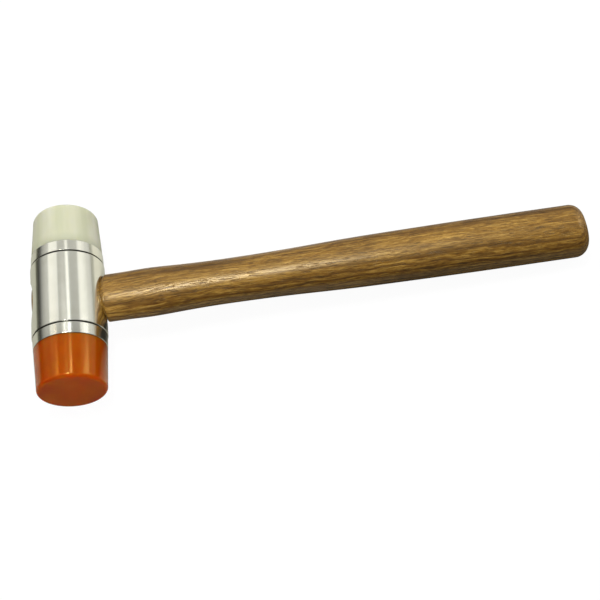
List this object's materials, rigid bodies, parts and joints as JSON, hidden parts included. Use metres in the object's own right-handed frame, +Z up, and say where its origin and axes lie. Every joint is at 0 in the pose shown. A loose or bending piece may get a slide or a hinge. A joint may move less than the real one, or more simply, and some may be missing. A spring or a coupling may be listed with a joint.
{
  "type": "plastic-faced mallet",
  "caption": "Soft-faced mallet: aluminium barrel head with screw-in white nylon and orange acetate striking faces on an oval stained wooden handle wedged in an oval eye.",
  "frame": {"origin": "middle of the mallet's bounding box on the surface that it lies on", "axes": "+Y along the head's axis towards the white nylon face, +X from the head towards the butt of the handle, +Z up; the handle tips down 1.67 degrees so that the head and the butt both rest on Z = 0"},
  "size_m": [0.2646, 0.094, 0.035],
  "materials": {
    "aluminium": "finely turned and polished",
    "white_nylon": "satin moulded nylon, slightly translucent",
    "orange_acetate": "glossy translucent cellulose acetate",
    "stained_wood": "stained and lacquered, open dark grain",
    "wedge_wood": "bare sawn hardwood",
    "wedge_steel": "plain rolled steel, a little dull"
  },
  "bodies": {
    "head": {"head_body": "aluminium", "handle": "stained_wood", "wooden_wedge": "wedge_wood", "steel_wedge_left": "wedge_steel", "steel_wedge_right": "wedge_steel"},
    "nylon_collar": {"nylon_collar": "aluminium"},
    "nylon_face": {"nylon_face": "white_nylon"},
    "acetate_collar": {"acetate_collar": "aluminium"},
    "acetate_face": {"acetate_face": "orange_acetate"}
  },
  "joints": [
    {"name": "nylon_collar_slide", "type": "slide", "parent": "head", "child": "nylon_collar", "axis": [0, 1, 0], "range_m": [0, 0.006]},
    {"name": "nylon_face_turn", "type": "hinge", "parent": "nylon_collar", "child": "nylon_face", "pos_m": [-0.11476, 0.0245, 0.0175], "axis": [0, 1, 0], "range_deg": [0, 1080]},
    {"name": "acetate_collar_slide", "type": "slide", "parent": "head", "child": "acetate_collar", "axis": [0, -1, 0], "range_m": [0, 0.006]},
    {"name": "acetate_face_turn", "type": "hinge", "parent": "acetate_collar", "child": "acetate_face", "pos_m": [-0.11476, -0.0255, 0.0175], "axis": [0, -1, 0], "range_deg": [0, 1080]}
  ],
  "couplings": [
    {"joint": "nylon_face_turn", "follows": "nylon_collar_slide", "rad_per_m": 3141.6},
    {"joint": "acetate_face_turn", "follows": "acetate_collar_slide", "rad_per_m": 3141.6}
  ]
}
